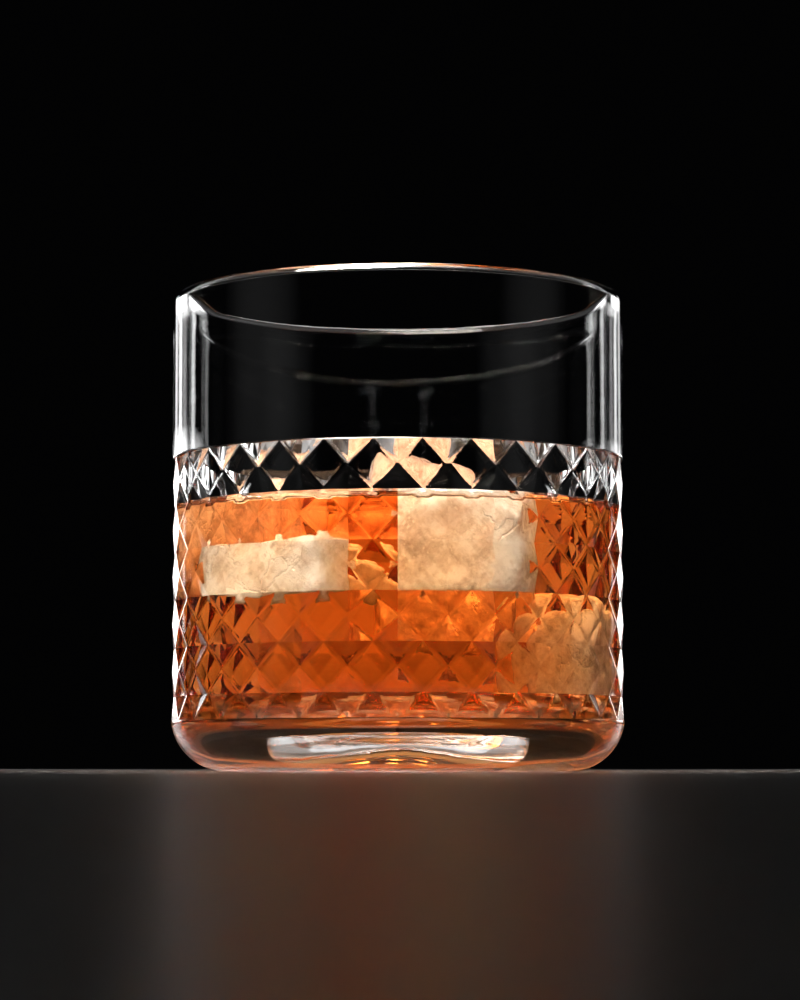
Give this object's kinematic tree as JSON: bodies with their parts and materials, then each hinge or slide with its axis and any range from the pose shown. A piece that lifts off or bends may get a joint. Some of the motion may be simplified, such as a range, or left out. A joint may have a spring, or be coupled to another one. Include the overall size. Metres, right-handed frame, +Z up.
{
  "type": "glass of whisky on the rocks",
  "caption": "Straight-sided tumbler with a band of cut diamonds, a thick rounded foot, whisky and melted ice cubes that stand out of it",
  "frame": {"origin": "on the table, under the middle of the glass", "axes": "+Z up the axis of the glass, +X to the right as seen from the front at -Y"},
  "size_m": [0.086, 0.086, 0.0905],
  "materials": {
    "glass": "polished clear glass",
    "whisky": "clear amber liquid",
    "ice": "wet ice with cloudy patches and cracks"
  },
  "bodies": {
    "root": {"glass": "glass", "whisky": "whisky", "ice_right": "ice", "ice_left": "ice", "ice_rear": "ice"}
  },
  "joints": []
}
